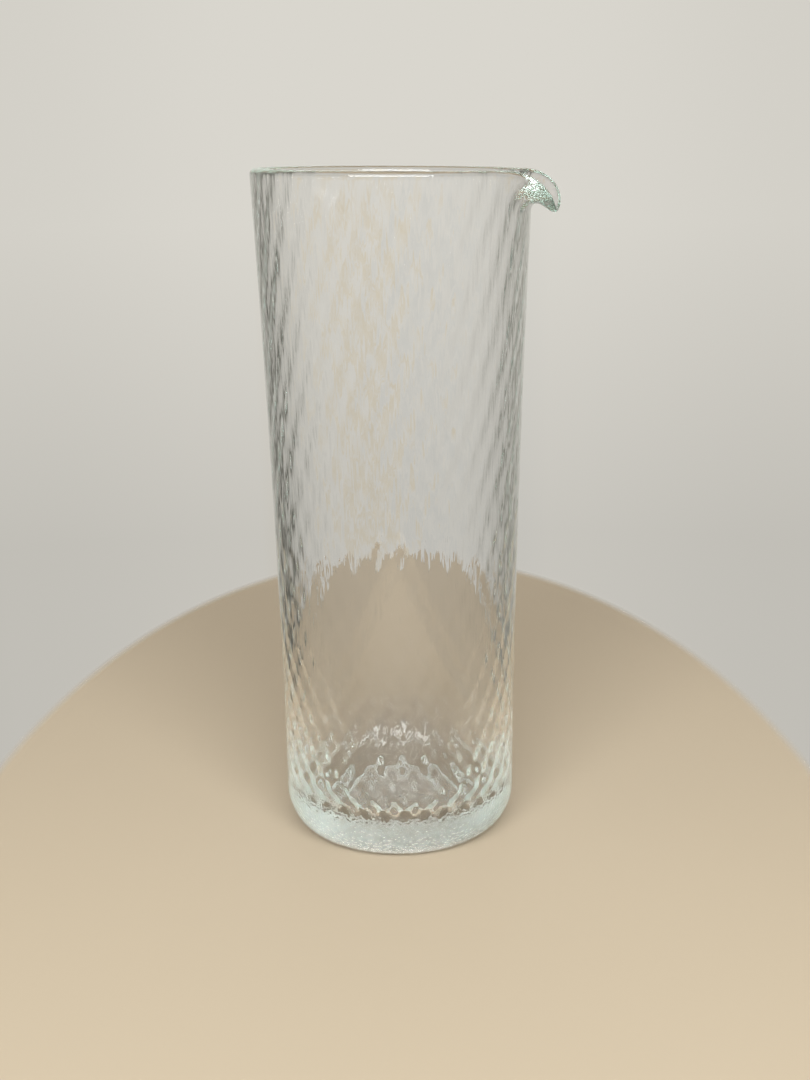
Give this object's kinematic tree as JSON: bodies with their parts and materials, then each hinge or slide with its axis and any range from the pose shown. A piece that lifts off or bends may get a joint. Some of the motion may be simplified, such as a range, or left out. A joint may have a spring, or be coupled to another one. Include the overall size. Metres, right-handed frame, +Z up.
{
  "type": "glass pitcher",
  "caption": "Clear glass pitcher with a heavy rounded base, a tapered wall with a diamond optic on its inside, and a pouring lip pulled from its rim.",
  "frame": {"origin": "middle of the flat underside, where the pitcher's axis meets the table", "axes": "+Z up along the pitcher's axis, +X towards the pouring lip"},
  "size_m": [0.1059, 0.0966, 0.24],
  "materials": {
    "clear_glass": "clear soda-lime glass with a faint green tint, mould-pressed optic inside, fire-polished outside and rim"
  },
  "bodies": {
    "root": {"base": "clear_glass", "wall": "clear_glass", "rim": "clear_glass", "pour_lip": "clear_glass"}
  },
  "joints": []
}
